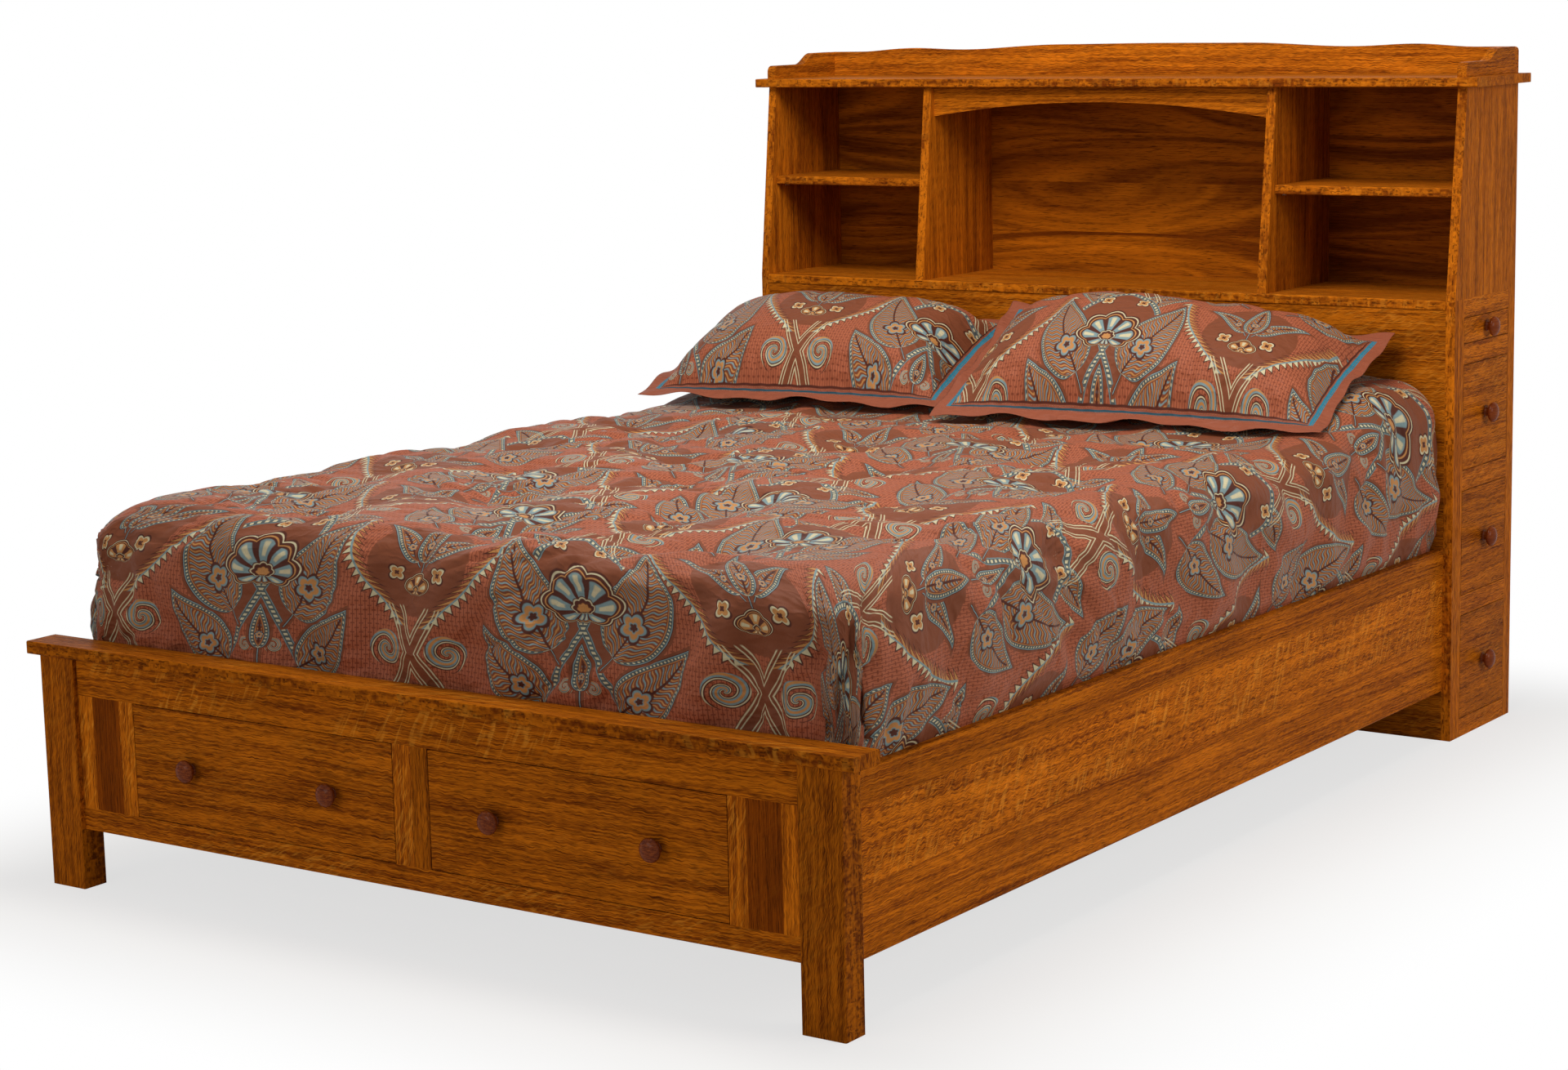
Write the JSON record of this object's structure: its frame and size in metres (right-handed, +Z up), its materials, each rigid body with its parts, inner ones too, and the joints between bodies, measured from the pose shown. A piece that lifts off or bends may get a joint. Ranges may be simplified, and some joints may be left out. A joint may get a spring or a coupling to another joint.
{
  "type": "bookcase storage bed",
  "caption": "Oak platform bed with a bookcase headboard, drawers in the footboard and in the headboard's sides, and a made-up mattress with comforter and shams.",
  "frame": {"origin": "on the floor, under the middle of the bed's bounding box", "axes": "+X across the bed towards its right side as seen from the foot, +Y from the footboard to the headboard, +Z up"},
  "size_m": [1.676, 2.4161, 1.342],
  "materials": {
    "oak": "satin stained quarter-sawn oak",
    "oak_dark": "satin stained oak, darker board",
    "back_panel": "satin stained oak veneer",
    "knob": "satin turned oak",
    "drawer_front": "satin stained quarter-sawn oak, with its knob",
    "drawer_box": "clear satin on pale hardwood",
    "frame_timber": "bare planed timber",
    "steel": "dull zinc",
    "ticking": "matte woven cover",
    "bedspread": "satin jacquard",
    "sham": "satin jacquard"
  },
  "bodies": {
    "bed": {"foot_leg_left": "oak", "foot_leg_right": "oak", "foot_cap": "oak", "foot_top_rail": "oak", "foot_bottom_rail": "oak", "foot_stiles": "oak", "foot_infill_boards": "oak_dark", "foot_drawer_case": "frame_timber", "side_rail_left": "oak", "side_rail_right": "oak", "slat_cleats": "frame_timber", "slats": "frame_timber", "centre_beam": "frame_timber", "rail_brackets": "steel", "head_side_frame_left": "oak", "head_side_frame_right": "oak", "head_front_panel": "oak", "head_back_panel": "back_panel", "head_partitions": "frame_timber", "head_runners": "frame_timber", "deck": "oak", "bookcase_side_left": "oak", "bookcase_side_right": "oak", "divider_left": "oak", "divider_right": "oak", "bookcase_back": "back_panel", "valance": "oak", "shelf_left": "oak", "shelf_right": "oak", "shelf_pins": "steel", "top_board": "oak", "gallery_back": "oak", "gallery_return_left": "oak", "gallery_return_right": "oak", "mattress": "ticking", "comforter": "bedspread", "sham_left": "sham", "sham_right": "sham"},
    "foot_drawer_left": {"foot_drawer_left_front": "drawer_front", "foot_drawer_left_box": "drawer_box", "foot_drawer_left_knobs": "knob"},
    "foot_drawer_right": {"foot_drawer_right_front": "drawer_front", "foot_drawer_right_box": "drawer_box", "foot_drawer_right_knobs": "knob"},
    "side_drawer_left_1": {"side_drawer_left_1_front": "drawer_front", "side_drawer_left_1_box": "drawer_box"},
    "side_drawer_left_2": {"side_drawer_left_2_front": "drawer_front", "side_drawer_left_2_box": "drawer_box"},
    "side_drawer_left_3": {"side_drawer_left_3_front": "drawer_front", "side_drawer_left_3_box": "drawer_box"},
    "side_drawer_left_4": {"side_drawer_left_4_front": "drawer_front", "side_drawer_left_4_box": "drawer_box"},
    "side_drawer_right_1": {"side_drawer_right_1_front": "drawer_front", "side_drawer_right_1_box": "drawer_box"},
    "side_drawer_right_2": {"side_drawer_right_2_front": "drawer_front", "side_drawer_right_2_box": "drawer_box"},
    "side_drawer_right_3": {"side_drawer_right_3_front": "drawer_front", "side_drawer_right_3_box": "drawer_box"},
    "side_drawer_right_4": {"side_drawer_right_4_front": "drawer_front", "side_drawer_right_4_box": "drawer_box"}
  },
  "joints": [
    {"name": "foot_drawer_left_slide", "type": "slide", "parent": "bed", "child": "foot_drawer_left", "axis": [0, -1, 0], "range_m": [0, 0.36]},
    {"name": "foot_drawer_right_slide", "type": "slide", "parent": "bed", "child": "foot_drawer_right", "axis": [0, -1, 0], "range_m": [0, 0.36]},
    {"name": "side_drawer_left_1_slide", "type": "slide", "parent": "bed", "child": "side_drawer_left_1", "axis": [-1, 0, 0], "range_m": [0, 0.32]},
    {"name": "side_drawer_left_2_slide", "type": "slide", "parent": "bed", "child": "side_drawer_left_2", "axis": [-1, 0, 0], "range_m": [0, 0.32]},
    {"name": "side_drawer_left_3_slide", "type": "slide", "parent": "bed", "child": "side_drawer_left_3", "axis": [-1, 0, 0], "range_m": [0, 0.32]},
    {"name": "side_drawer_left_4_slide", "type": "slide", "parent": "bed", "child": "side_drawer_left_4", "axis": [-1, 0, 0], "range_m": [0, 0.32]},
    {"name": "side_drawer_right_1_slide", "type": "slide", "parent": "bed", "child": "side_drawer_right_1", "axis": [1, 0, 0], "range_m": [0, 0.32]},
    {"name": "side_drawer_right_2_slide", "type": "slide", "parent": "bed", "child": "side_drawer_right_2", "axis": [1, 0, 0], "range_m": [0, 0.32]},
    {"name": "side_drawer_right_3_slide", "type": "slide", "parent": "bed", "child": "side_drawer_right_3", "axis": [1, 0, 0], "range_m": [0, 0.32]},
    {"name": "side_drawer_right_4_slide", "type": "slide", "parent": "bed", "child": "side_drawer_right_4", "axis": [1, 0, 0], "range_m": [0, 0.32]}
  ]
}
